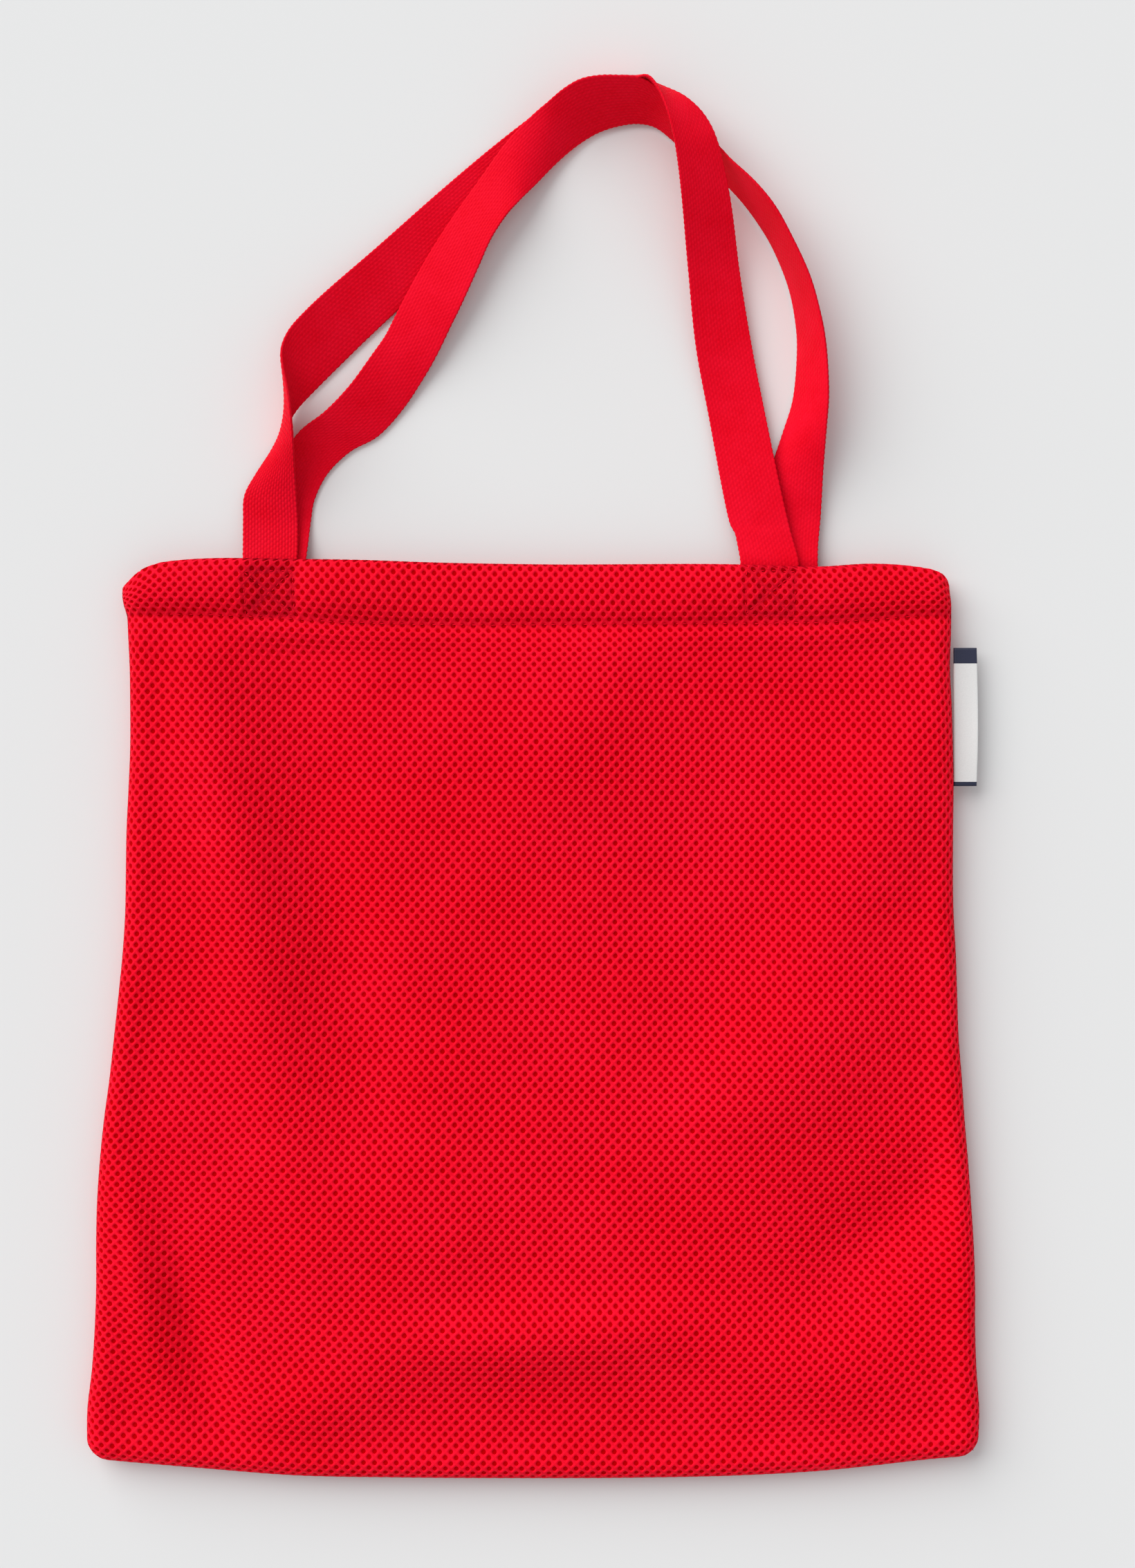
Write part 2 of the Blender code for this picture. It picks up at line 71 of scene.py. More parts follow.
class Spline:
    """Smooth curve through sorted stations (a cubic with limited slopes)."""

    def __init__(self, pairs):
        pts = sorted(pairs)
        self.x = np.array([p[0] for p in pts], float)
        self.y = np.array([p[1] for p in pts], float)
        h = np.diff(self.x)
        d = np.diff(self.y) / h
        m = np.zeros(len(self.x))
        m[1:-1] = (d[:-1] * h[1:] + d[1:] * h[:-1]) / (h[1:] + h[:-1])
        m[0], m[-1] = d[0], d[-1]
        self.m = m

    def __call__(self, v):
        v = np.clip(np.asarray(v, float), self.x[0], self.x[-1])
        i = np.clip(np.searchsorted(self.x, v, side="right") - 1, 0, len(self.x) - 2)
        h = self.x[i + 1] - self.x[i]
        t = (v - self.x[i]) / h
        t2, t3 = t * t, t * t * t
        return ((2 * t3 - 3 * t2 + 1) * self.y[i] + (t3 - 2 * t2 + t) * self.m[i] * h
                + (-2 * t3 + 3 * t2) * self.y[i + 1] + (t3 - t2) * self.m[i + 1] * h)


def to_metres(points):
    return (np.asarray(points, float) + SHIFT) * MM


def build_mesh(name, verts, polys, mats, mat_index=None, smooth=True):
    """A mesh object from arrays. polys is a list of (n, k) index arrays."""
    me = bpy.data.meshes.new(name)
    verts = to_metres(verts)
    me.vertices.add(len(verts))
    me.vertices.foreach_set("co", verts.astype(np.float32).ravel())
    loops = np.concatenate([p.ravel() for p in polys])
    sizes = np.concatenate([np.full(len(p), p.shape[1], np.int32) for p in polys])
    starts = np.concatenate([[0], np.cumsum(sizes)[:-1]]).astype(np.int32)
    me.loops.add(len(loops))
    me.loops.foreach_set("vertex_index", loops.astype(np.int32))
    me.polygons.add(len(sizes))
    me.polygons.foreach_set("loop_start", starts)
    if mat_index is not None:
        idx = np.concatenate([np.full(len(p), m, np.int32) for p, m in zip(polys, mat_index)])
        me.polygons.foreach_set("material_index", idx)
    flags = smooth if isinstance(smooth, list) else [smooth] * len(polys)
    me.polygons.foreach_set("use_smooth", np.concatenate([np.full(len(p), f, bool) for p, f in zip(polys, flags)]))
    for m in mats:
        me.materials.append(m)
    me.update(calc_edges=True)
    me.validate()
    obj = bpy.data.objects.new(name, me)
    bpy.context.scene.collection.objects.link(obj)
    return obj


def set_point_value(obj, name, values):
    at = obj.data.attributes.new(name, "FLOAT", "POINT")
    at.data.foreach_set("value", np.asarray(values, np.float32).ravel())


# ---------------------------------------------------------------------------
# materials
# ---------------------------------------------------------------------------
def new_material(name):
    mat = bpy.data.materials.new(name)
    mat.use_nodes = True
    nt = mat.node_tree
    return mat, nt, nt.nodes["Principled BSDF"]


def node(nt, kind, **values):
    n = nt.nodes.new(kind)
    for k, v in values.items():
        setattr(n, k, v)
    return n


def noise(nt, vec, scale, detail=3.0, rough=0.5):
    n = node(nt, "ShaderNodeTexNoise")
    n.inputs["Scale"].default_value = scale
    n.inputs["Detail"].default_value = detail
    n.inputs["Roughness"].default_value = rough
    nt.links.new(vec, n.inputs["Vector"])
    return n


def ramp(nt, fac, stops):
    r = node(nt, "ShaderNodeValToRGB")
    el = r.color_ramp.elements
    el[0].position, el[0].color = stops[0][0], (*stops[0][1], 1)
    el[1].position, el[1].color = stops[-1][0], (*stops[-1][1], 1)
    for pos, col in stops[1:-1]:
        e = el.new(pos)
        e.color = (*col, 1)
    nt.links.new(fac, r.inputs["Fac"])
    return r


def fabric_material(name, dark, light, rough, bump_scale, bump_strength, bump_dist,
                    blotch=18.0, fine=900.0, shade_attribute=None, low=0.62, sheen=0.0):
    """Knitted or woven yarn: colour drifts slowly, fine filaments in the bump.
    The per-point value named here scales the colour from low at 0 to full at 1: painted shade, such as in the valleys
    between the yarns."""
    mat, nt, bsdf = new_material(name)
    tc = node(nt, "ShaderNodeTexCoord")
    big = noise(nt, tc.outputs["Object"], blotch, 4.0, 0.55)
    small = noise(nt, tc.outputs["Object"], fine, 2.0, 0.6)
    mix = node(nt, "ShaderNodeMath", operation="MULTIPLY_ADD")
    mix.inputs[1].default_value = 0.45
    nt.links.new(small.outputs["Fac"], mix.inputs[0])
    scaled = node(nt, "ShaderNodeMath", operation="MULTIPLY")
    scaled.inputs[1].default_value = 0.55
    nt.links.new(big.outputs["Fac"], scaled.inputs[0])
    nt.links.new(scaled.outputs[0], mix.inputs[2])
    col = ramp(nt, mix.outputs[0], [(0.3, dark), (0.7, light)]).outputs["Color"]
    if shade_attribute:
        at = node(nt, "ShaderNodeAttribute", attribute_name=shade_attribute)
        shade = node(nt, "ShaderNodeMapRange", clamp=False)
        shade.inputs["To Min"].default_value = low
        shade.inputs["To Max"].default_value = 1.0
        nt.links.new(at.outputs["Fac"], shade.inputs["Value"])
        mul = node(nt, "ShaderNodeVectorMath", operation="SCALE")
        nt.links.new(col, mul.inputs[0])
        nt.links.new(shade.outputs["Result"], mul.inputs["Scale"])
        col = mul.outputs[0]
    nt.links.new(col, bsdf.inputs["Base Color"])
    bsdf.inputs["Roughness"].default_value = rough
    bsdf.inputs["Specular IOR Level"].default_value = 0.10
    bsdf.inputs["Specular Tint"].default_value = (1.0, 0.12, 0.16, 1)
    bsdf.inputs["Sheen Weight"].default_value = sheen
    bsdf.inputs["Sheen Roughness"].default_value = 0.5
    bsdf.inputs["Sheen Tint"].default_value = (1.0, 0.03, 0.07, 1)
    if bump_strength:
        b = node(nt, "ShaderNodeBump")
        b.inputs["Strength"].default_value = bump_strength
        b.inputs["Distance"].default_value = bump_dist
        yarn = noise(nt, tc.outputs["Object"], bump_scale, 2.0, 0.6)
        nt.links.new(yarn.outputs["Fac"], b.inputs["Height"])
        nt.links.new(b.outputs["Normal"], bsdf.inputs["Normal"])
    return mat


# strand and pit colours are scaled by a per-point value of painted shade, with a painted highlight on the pit rims
STRAND = fabric_material("mesh_strand", (0.86, 0.0035, 0.017), (1.0, 0.0075, 0.034), 0.6,
                         2600.0, 0.35, 0.00025, shade_attribute="painted_mesh_shading", low=0.0, sheen=0.06)
# the pit floors are painted dark red: painted shade for the depth of the mesh's holes
PIT = fabric_material("mesh_pit", (0.44, 0.0, 0.0005), (0.56, 0.0, 0.002), 0.9,
                      3200.0, 0.5, 0.0003, shade_attribute="painted_mesh_shading", low=0.0)
LINING = fabric_material("mesh_inner_face", (0.60, 0.002, 0.010), (0.78, 0.004, 0.018), 0.8,
                         1400.0, 0.6, 0.0004)
# the webbing's colour carries painted shade in the valleys between its yarn floats and on its under face
WEB = fabric_material("webbing_yarn", (0.86, 0.002, 0.014), (0.99, 0.006, 0.03), 0.5,
                      2400.0, 0.4, 0.0002, blotch=60.0, shade_attribute="weave_painted_shade", low=0.68, sheen=0.05)
THREAD = fabric_material("sewing_thread", (0.80, 0.003, 0.014), (0.94, 0.008, 0.03), 0.5,
                         3000.0, 0.4, 0.0002, sheen=0.1)


# ---------------------------------------------------------------------------
# outline of the bag and the shape of its cloth
# ---------------------------------------------------------------------------
LEFT = Spline([(-330, -197), (-302, -196.6), (-292, -196.8), (-280, -196.7), (-262, -194.7), (-243, -193.4),
               (-225, -192.8), (-207, -192.8), (-188, -192.4), (-170, -191.2), (-152, -189.4), (-134, -187.0),
               (-115, -184.9), (-97, -183.0), (-79, -181.2), (-60, -180.0), (-42, -179.7), (-24, -179.4),
               (-5, -178.5), (13, -177.8), (31, -177.8), (49, -178.1), (62, -178.8), (68.6, -179.2),
               (73, -180.4), (79, -181.0), (84, -181.2), (94.6, -181.2), (110, -181.2)])
RIGHT = Spline([(-330, 196.7), (-292, 196.4), (-280, 196.7), (-262, 195.5), (-243, 194.9), (-225, 194.9),
                (-207, 194.3), (-188, 193.1), (-170, 191.8), (-152, 190.3), (-134, 189.1), (-115, 187.6),
                (-97, 187.0), (-79, 186.4), (-60, 185.4), (-24, 185.2), (-5, 185.4), (13, 185.1),
                (31, 184.6), (49, 183.8), (62, 184.3), (68.6, 184.4), (74, 184.4), (80, 184.2),
                (86, 183.8), (94.6, 183.4), (110, 183.4)])
# mouth edge and hem seam: how far each stands above or below its nominal line
TOPLINE = Spline([(-182.0, 83.4), (-180.2, 84.8), (-177.2, 87.5), (-172.6, 91.3), (-168.1, 93.2), (-158, 94.8),
                  (-146.7, 95.5), (-113, 95.4), (-82.7, 95.2), (-40, 93.9), (2.7, 93.2), (88, 93.2),
                  (130.8, 92.2), (152.2, 93.3), (166, 92.6), (173.5, 91.6), (178, 90.7), (180.9, 89.4),
                  (182.4, 87.6), (184.0, 84.6)])
SEAMLINE = Spline([(-190, 2.0), (-140, 1.7), (-115, 0.5), (-80, -1.6), (-40, -2.6), (0, -2.6), (60, -2.2),
                   (100, -1.8), (130, -1.4), (150, -0.2), (165, 1.0), (190, 1.5)])
FLOORLINE = Spline([(-200, -300.6), (-180, -302.5), (-147, -305.3), (-104, -308.6), (-60, -309.5), (-7, -309.8),
                    (46, -309.6), (88, -308.7), (131, -306.2), (152, -304.0), (174, -301.5), (200, -299.5)])

EDGE = 9.0                                   # how far in the turned edges curve
RISE = Z_FRONT - Z_SEAM

# quarter-round edge profile by arc length
_t = np.linspace(0, math.pi / 2, 200)
_px, _pz = EDGE * (1 - np.cos(_t)), RISE * np.sin(_t)
_arc = np.concatenate([[0], np.cumsum(np.hypot(np.diff(_px), np.diff(_pz)))])
ARC = float(_arc[-1])


def edge_inset(e):
    return np.interp(e, _arc, _px)


def bumps(x, y, items):
    z = np.zeros_like(x)
    for amp, cx, cy, sx, sy, turn in items:
        c, s = math.cos(math.radians(turn)), math.sin(math.radians(turn))
        dx, dy = x - cx, y - cy
        u, v = (dx * c + dy * s) / sx, (-dx * s + dy * c) / sy
        z += amp * np.exp(-(u * u + v * v))
    return z


# amplitude, centre x, y, spread across, spread along, turn
FRONT_RELIEF = [
    (8.0, -131, -30, 18, 136, 10.4),
    (-5.6, -88, -52, 20, 96, 10.4),
    (6.6, 20, 22, 44, 60, -20),
    (6.4, 152, -20, 28, 56, -24),
    (7.6, 112, -128, 30, 46, -40),
    (-7.0, 150, -204, 22, 46, -46),
    (5.6, -58, -200, 44, 50, 12),
    (6.0, -173, -216, 11, 50, 12),
    (-5.4, -149, -246, 11, 46, 16),
    (7.6, 0, -248, 70, 16, 3),
    (4.6, 120, -262, 40, 20, -8),
    (4.4, -96, -276, 34, 16, 6),
]


def front_dome(x, y):
    calm = smoothstep(0, 14, Y_HEM - 2 - y) * smoothstep(0, 22, y - FLOORLINE(x))
    sides = smoothstep(0, 20, x - LEFT(y)) * smoothstep(0, 20, RIGHT(y) - x)
    ripple = 0.3 * np.sin(x * 0.11 + 0.6 * np.sin(y * 0.05)) * np.sin(y * 0.083 + 1.0)
    # held a little below the flat cloth, so that the folded layers keep clear
    z = np.clip(bumps(x, y, FRONT_RELIEF) + ripple, -7.5, 8.6)
    return (z - 2.4) * calm * sides


BOX_W, BOX_H, BOX_Y = 21.5, 19.5, Y_TOP - 14.5
FRONT_BOXES = [(-116.0, 0.03), (104.0, -0.04)]
BACK_BOXES = [(-112.6, -0.02), (113.25, 0.03)]


def box_runs(cx, tilt):
    """The four sides and the cross of a sewn box."""
    c, sn = math.cos(tilt), math.sin(tilt)

    def pt(u, v):
        return (cx + u * c - v * sn, BOX_Y + u * sn + v * c)

    a, b = BOX_W / 2, BOX_H / 2
    bl, br, tr, tl = pt(-a, -b), pt(a, -b), pt(a, b), pt(-a, b)
    return [(bl, br), (br, tr), (tr, tl), (tl, bl), (bl, tr), (br, tl)]


def sewn(x, y, boxes, width):
    """1 on a sewn line of the boxes, falling to 0 at about width from it."""
    v = np.zeros_like(x)
    near = y > Y_HEM - 2
    for cx, tilt in boxes:
        m = near & (np.abs(x - cx) < BOX_W)
        if not m.any():
            continue
        xm, ym = x[m], y[m]
        best = np.full(xm.shape, 1e9)
        for (x0, y0), (x1, y1) in box_runs(cx, tilt):
            dx, dy = x1 - x0, y1 - y0
            t = np.clip(((xm - x0) * dx + (ym - y0) * dy) / (dx * dx + dy * dy), 0, 1)
            best = np.minimum(best, np.hypot(xm - x0 - t * dx, ym - y0 - t * dy))
        v[m] = np.maximum(v[m], np.exp(-(best / width) ** 2))
    return v


def hem_ripple(x, y):
    """The turned band puffs between its stitches and dips at the handles."""
    z = 0.45 * np.sin(x * 0.071 + 0.8) + 0.25 * np.sin(x * 0.19 + 2.0)
    z = z + 1.5 * np.exp(-((x + 150) / 20) ** 2) - 1.3 * np.exp(-((x + 116) / 15) ** 2)
    z = z + 1.2 * np.exp(-((x + 88) / 13) ** 2) + 0.9 * np.exp(-((x - 74) / 15) ** 2)
    z = z - 1.0 * np.exp(-((x - 104) / 14) ** 2) + 1.2 * np.exp(-((x - 142) / 18) ** 2)
    return z * smoothstep(0, 9, y - Y_HEM) * smoothstep(0, 14, Y_TOP + 3 - y)


# Path of the cloth in the Y-Z plane, from the end of the bottom curve to the
# raw edge inside the hem: y, z, and how far it is on the inner leaf (0 to 1).
def cloth_path(front):
    if front:
        t = Z_FRONT
        pts = [(Y_BOTTOM + EDGE, t, 0), (Y_HEM - 10, t, 0), (Y_HEM - 6.5, t - 0.3, 0), (Y_HEM - 4, t - 0.8, 0),
               (Y_HEM - 2.0, t - 1.7, 0), (Y_HEM - 0.7, t - 2.5, 0), (Y_HEM + 0.4, t - 2.8, 0),
               (Y_HEM + 1.6, t - 2.3, 0), (Y_HEM + 3.5, t - 1.0, 0), (Y_HEM + 7, t + 0.2, 0),
               (Y_HEM + 12, t + 0.7, 0), (Y_HEM + 17, t + 0.4, 0), (Y_TOP - 5, t - 0.35, 0), (Y_TOP - 2.6, t - 0.95, 0)]
        top, bottom = t - 1.05, 9.75
    else:
        pts = [(Y_BOTTOM + EDGE, 0.0, 0), (Y_HEM - 10, 0.0, 0), (Y_HEM - 6.5, 0.1, 0), (Y_HEM - 4, 0.35, 0),
               (Y_HEM - 2.0, 0.9, 0), (Y_HEM - 0.7, 1.35, 0), (Y_HEM + 0.4, 1.5, 0), (Y_HEM + 1.6, 1.3, 0),
               (Y_HEM + 3.5, 0.9, 0), (Y_HEM + 7, 0.6, 0), (Y_HEM + 12, 0.5, 0), (Y_HEM + 17, 0.55, 0),
               (Y_TOP - 5, 0.65, 0), (Y_TOP - 2.6, 0.75, 0)]
        top, bottom = 0.75, 5.35
    r = abs(top - bottom) / 2
    zc = (top + bottom) / 2
    s = 1 if front else -1
    for k in range(1, 12):
        a = math.pi * k / 12
        pts.append((Y_TOP - 2.4 + 2.4 * math.sin(a), zc + s * r * math.cos(a), k / 12))
    pts += [(Y_TOP - 2.6, bottom, 1), (Y_TOP - 8, bottom, 1), (Y_HEM + 12, bottom, 1), (Y_HEM + 3.8, bottom + 0.05 * s, 1)]
    p = np.array(pts, float)
    s_len = np.concatenate([[0], np.cumsum(np.hypot(np.diff(p[:, 0]), np.diff(p[:, 1])))])
    return s_len + ARC, p


def soft_box(x, y, x0, x1, y0, y1, soft):
    return (smoothstep(x0 - soft, x0 + soft, x) * (1 - smoothstep(x1 - soft, x1 + soft, x))
            * smoothstep(y0 - soft, y0 + soft, y) * (1 - smoothstep(y1 - soft, y1 + soft, y)))


def painted_mesh_shading(x, y, yn, lam, crown, front):
    """Painted shade on the open mesh, a factor on its colour: darker where the
    webbing lies behind it, on the sewn lines, in the groove of the hem seam
    and where the edges turn under."""
    v = np.ones_like(x)
    if front:
        # painted shade where the webbing lies behind the mesh and along the sewn boxes
        v -= 0.24 * soft_box(x, y, -126.5, -104.5, 72.0, 99.0, 3.0)
        v -= 0.13 * soft_box(x, y, 94.0, 122.0, 72.0, 99.0, 3.0)
        v -= 0.16 * sewn(x, y, FRONT_BOXES, 1.3)
    else:
        v -= 0.18 * soft_box(x, y, -124.0, -101.0, 72.0, 99.0, 3.0)
        v -= 0.18 * soft_box(x, y, 101.0, 125.0, 72.0, 99.0, 3.0)
        v -= 0.16 * sewn(x, y, BACK_BOXES, 1.3)
    # painted shade in the hem groove, along the top fold and on the turned side edges
    v -= 0.15 * np.exp(-((yn - Y_HEM - 0.2) / 1.9) ** 2)
    v -= 0.42 * smoothstep(0.12, 0.42, lam)
    v -= 0.35 * smoothstep(0.55, 0.2, crown)
    return v


COLUMNS, ROWS = 84, 88
P, Q = 2 * COLUMNS, 2 * ROWS


def cloth_surface(front):
    """The outer face of a panel as a function of lattice coordinates."""
    s_len, path = cloth_path(front)
    total = float(s_len[-1])
    up = 1.0 if front else -1.0
    rim = Z_SEAM + 0.12 * up

    def surface(p, q, want_shade=False):
        p, q = np.asarray(p, float), np.asarray(q, float)
        e = total * q / Q
        yn = np.where(e < ARC, Y_BOTTOM + edge_inset(e), np.interp(e, s_len, path[:, 0]))
        h = np.where(e < ARC, path[0, 1], np.interp(e, s_len, path[:, 1]))
        lam = np.where(e < ARC, 0.0, np.interp(e, s_len, path[:, 2]))
        lam = lam * lam * (3 - 2 * lam)
        dy = np.where(e < ARC, edge_inset(e), EDGE)
        fall = 1 - smoothstep(-285, -140, yn)
        # two passes: the bottom line depends on x and x on y
        x = -190 + 380 * p / P
        for _ in range(3):
            y = yn + (FLOORLINE(x) - Y_BOTTOM) * fall
            xl, xr = LEFT(y), RIGHT(y)
            flat = (xr - xl) + 2 * (ARC - EDGE)
            ex = flat * p / P
            left, right = ex < ARC, ex > flat - ARC
            dx = np.where(left, edge_inset(ex), np.where(right, edge_inset(flat - ex), EDGE))
            x = np.where(left, xl + dx, np.where(right, xr - dx, xl + EDGE + (ex - ARC)))
        yn0 = yn
        a, b = 1 - dx / EDGE, 1 - dy / EDGE
        a2, b2 = a * np.sqrt(np.clip(1 - b * b / 2, 0, 1)), b * np.sqrt(np.clip(1 - a * a / 2, 0, 1))
        r = np.clip(np.hypot(a2, b2), 0, 1)
        x = np.where(left, xl + EDGE * (1 - a2), np.where(right, xr - EDGE * (1 - a2), x))
        y = y - dy + EDGE * (1 - b2)
        y = np.where(dy < EDGE, y, yn + (FLOORLINE(x) - Y_BOTTOM) * fall)
        y = y + (TOPLINE(x) - Y_TOP) * smoothstep(Y_HEM + 1, Y_TOP + 1, yn0)
        y = y + SEAMLINE(x) * np.exp(-((yn0 - Y_HEM) / 16.0) ** 2)
        crown = np.sqrt(np.clip(1 - r * r, 0, 1))
        if front:
            h = h + (front_dome(x, y) + hem_ripple(x, y) - 0.9 * sewn(x, y, FRONT_BOXES, 1.5)) * (1 - lam)
        else:
            h = h + (0.25 * hem_ripple(x + 40, y) + 0.5 * sewn(x, y, BACK_BOXES, 1.5)) * (1 - lam) + 0.2 * lam
            h = np.maximum(h, 0.0)
        z = rim + (h - rim) * crown
        # the inner leaf doesn't run down to the seam: it ends just inside it
        leaf_x = xl + 5.5 + (xr - xl - 11.0) * (ex / flat)
        x = x + (leaf_x - x) * lam
        z = z + (h - z) * lam
        if want_shade:
            return painted_mesh_shading(x, y, yn0, lam, crown, front)
        return np.stack([x, y, z], axis=-1)

    def thickness(q):
        e = total * np.asarray(q, float) / Q
        yn = np.where(e < ARC, Y_BOTTOM, np.interp(e, s_len, path[:, 0]))
        lam = np.where(e < ARC, 0.0, np.interp(e, s_len, path[:, 2]))
        t = FABRIC + (2.1 - FABRIC) * smoothstep(Y_HEM - 8, Y_HEM - 1, yn)
        return np.where(lam > 0, 2.1, t)

    return surface, thickness


def surface_normals(surface, p, q, up):
    e = 0.35
    p0, p1 = np.clip(p - e, 0, P), np.clip(p + e, 0, P)
    q0, q1 = np.clip(q - e, 0, Q), np.clip(q + e, 0, Q)
    du = surface(p1, q) - surface(p0, q)
    dv = surface(p, q1) - surface(p, q0)
    n = np.cross(du, dv) * up
    return n / np.maximum(np.linalg.norm(n, axis=-1, keepdims=True), 1e-9)


def spacer_panel(name, front):
    """A closed sheet of open mesh: rows of staggered oval pits in the outer
    face, set in a lattice of rounded strands, and a plain inner face."""
    surface, thickness = cloth_surface(front)
    up = 1.0 if front else -1.0
    pp, qq = np.meshgrid(np.arange(P + 1), np.arange(Q + 1), indexing="ij")
    odd = ((pp + qq) % 2 == 1)
    corner = ((pp == 0) | (pp == P)) & ((qq == 0) | (qq == Q))
    keep = odd | corner
    index = -np.ones((P + 1, Q + 1), np.int64)
    n_nodes = int(keep.sum())
    index[keep] = np.arange(n_nodes)
    np_, nq_ = pp[keep].astype(float), qq[keep].astype(float)
    node_pos = surface(np_, nq_)
    node_nrm = surface_normals(surface, np_, nq_, up)
    inner_pos = node_pos - node_nrm * thickness(nq_)[:, None]

    pits = (~odd) & (pp > 0) & (pp < P) & (qq > 0) & (qq < Q)
    cp, cq = pp[pits], qq[pits]
    n_pits = len(cp)
    rng = np.random.default_rng(7)
    jitter = rng.normal(0, 0.018, (n_pits, 2))
    size = 1 + rng.normal(0, 0.035, n_pits)
    ang = np.arange(8) * math.pi / 4
    ring = np.stack([np.cos(ang), np.sin(ang)], 1)
    # pits are slightly narrower at their upper and lower ends
    shape = np.array([1.0, 0.97, 1.03, 0.97, 1.0, 0.97, 1.03, 0.97])[:, None] * ring
    rim_r, floor_r, depth = 0.565, 0.435, 0.55
    centre = np.stack([cp, cq], 1).astype(float) + jitter
    rim_pq = centre[:, None, :] + shape[None] * rim_r * size[:, None, None]
    flo_pq = centre[:, None, :] + shape[None] * floor_r * size[:, None, None]
    rim_pos = surface(rim_pq[..., 0], rim_pq[..., 1])
    flo_pos = surface(flo_pq[..., 0], flo_pq[..., 1])
    c_nrm = surface_normals(surface, cp.astype(float), cq.astype(float), up)
    rim_pos = rim_pos - c_nrm[:, None, :] * 0.06
    flo_pos = flo_pos - c_nrm[:, None, :] * depth

    verts = np.concatenate([node_pos, rim_pos.reshape(-1, 3), flo_pos.reshape(-1, 3), inner_pos])
    o_rim = n_nodes
    o_flo = o_rim + n_pits * 8
    o_in = o_flo + n_pits * 8
    k = np.arange(n_pits)
    rim_i = o_rim + k[:, None] * 8 + np.arange(8)[None]
    flo_i = o_flo + k[:, None] * 8 + np.arange(8)[None]
    east, north = index[cp + 1, cq], index[cp, cq + 1]
    west, south = index[cp - 1, cq], index[cp, cq - 1]
    corners = np.stack([east, north, west, south], 1)

    strand_tris, wall_quads = [], []
    for i in range(4):
        c0, c1 = corners[:, i], corners[:, (i + 1) % 4]
        r0, r1, r2 = rim_i[:, 2 * i], rim_i[:, 2 * i + 1], rim_i[:, (2 * i + 2) % 8]
        strand_tris.append(np.stack([c0, c1, r1], 1))
        strand_tris.append(np.stack([c0, r1, r0], 1))
        strand_tris.append(np.stack([c1, r2, r1], 1))
    for j in range(8):
        j2 = (j + 1) % 8
        wall_quads.append(np.stack([rim_i[:, j], rim_i[:, j2], flo_i[:, j2], flo_i[:, j]], 1))
    floors = flo_i.copy()
    inner_quads = np.stack([south, east, north, west], 1)[:, ::-1] + o_in

    # half cells along the borders
    border = []
    for q in range(2, Q, 2):
        border.append((index[0, q - 1], index[1, q], index[0, q + 1]))
        border.append((index[P, q - 1], index[P, q + 1], index[P - 1, q]))
    for p in range(2, P, 2):
        border.append((index[p - 1, 0], index[p + 1, 0], index[p, 1]))
        border.append((index[p - 1, Q], index[p, Q - 1], index[p + 1, Q]))
    border += [(index[0, 0], index[1, 0], index[0, 1]), (index[P, 0], index[P, 1], index[P - 1, 0]),
               (index[0, Q], index[0, Q - 1], index[1, Q]), (index[P, Q], index[P - 1, Q], index[P, Q - 1])]
    border = np.array(border, np.int64)
    inner_border = border[:, ::-1] + o_in

    # rim that joins the two faces, round the outline
    loop = [index[p, 0] for p in range(P + 1) if index[p, 0] >= 0]
    loop += [index[P, q] for q in range(1, Q + 1) if index[P, q] >= 0]
    loop += [index[p, Q] for p in range(P - 1, -1, -1) if index[p, Q] >= 0]
    loop += [index[0, q] for q in range(Q - 1, 0, -1) if index[0, q] >= 0]
    loop = np.array(loop)
    nxt = np.roll(loop, -1)
    edge_quads = np.stack([loop, loop + o_in, nxt + o_in, nxt], 1)

    polys = [np.concatenate(strand_tris), border, np.concatenate(wall_quads), floors,
             inner_quads, inner_border, edge_quads]
    mats = [0, 0, 0, 1, 2, 2, 2]
    if not front:
        polys = [f[:, ::-1] for f in polys]
    obj = build_mesh(name, verts, polys, [STRAND, PIT, LINING], mats, smooth=[True, True, False, False, True, True, True])
    # the rim catches the light on its right and lower sides
    rim_light = 1.03 + 0.07 * np.cos(ang + math.pi / 5)
    # painted shade for each point, with the painted highlight on the pit rims
    shade = np.concatenate([
        surface(np_, nq_, True),
        (surface(rim_pq[..., 0], rim_pq[..., 1], True) * rim_light[None]).ravel(),
        surface(flo_pq[..., 0], flo_pq[..., 1], True).ravel(),
        np.ones(n_nodes)])
    set_point_value(obj, "painted_mesh_shading", shade)
    return obj


front_panel = spacer_panel("front_panel", True)
back_panel = spacer_panel("back_panel", False)

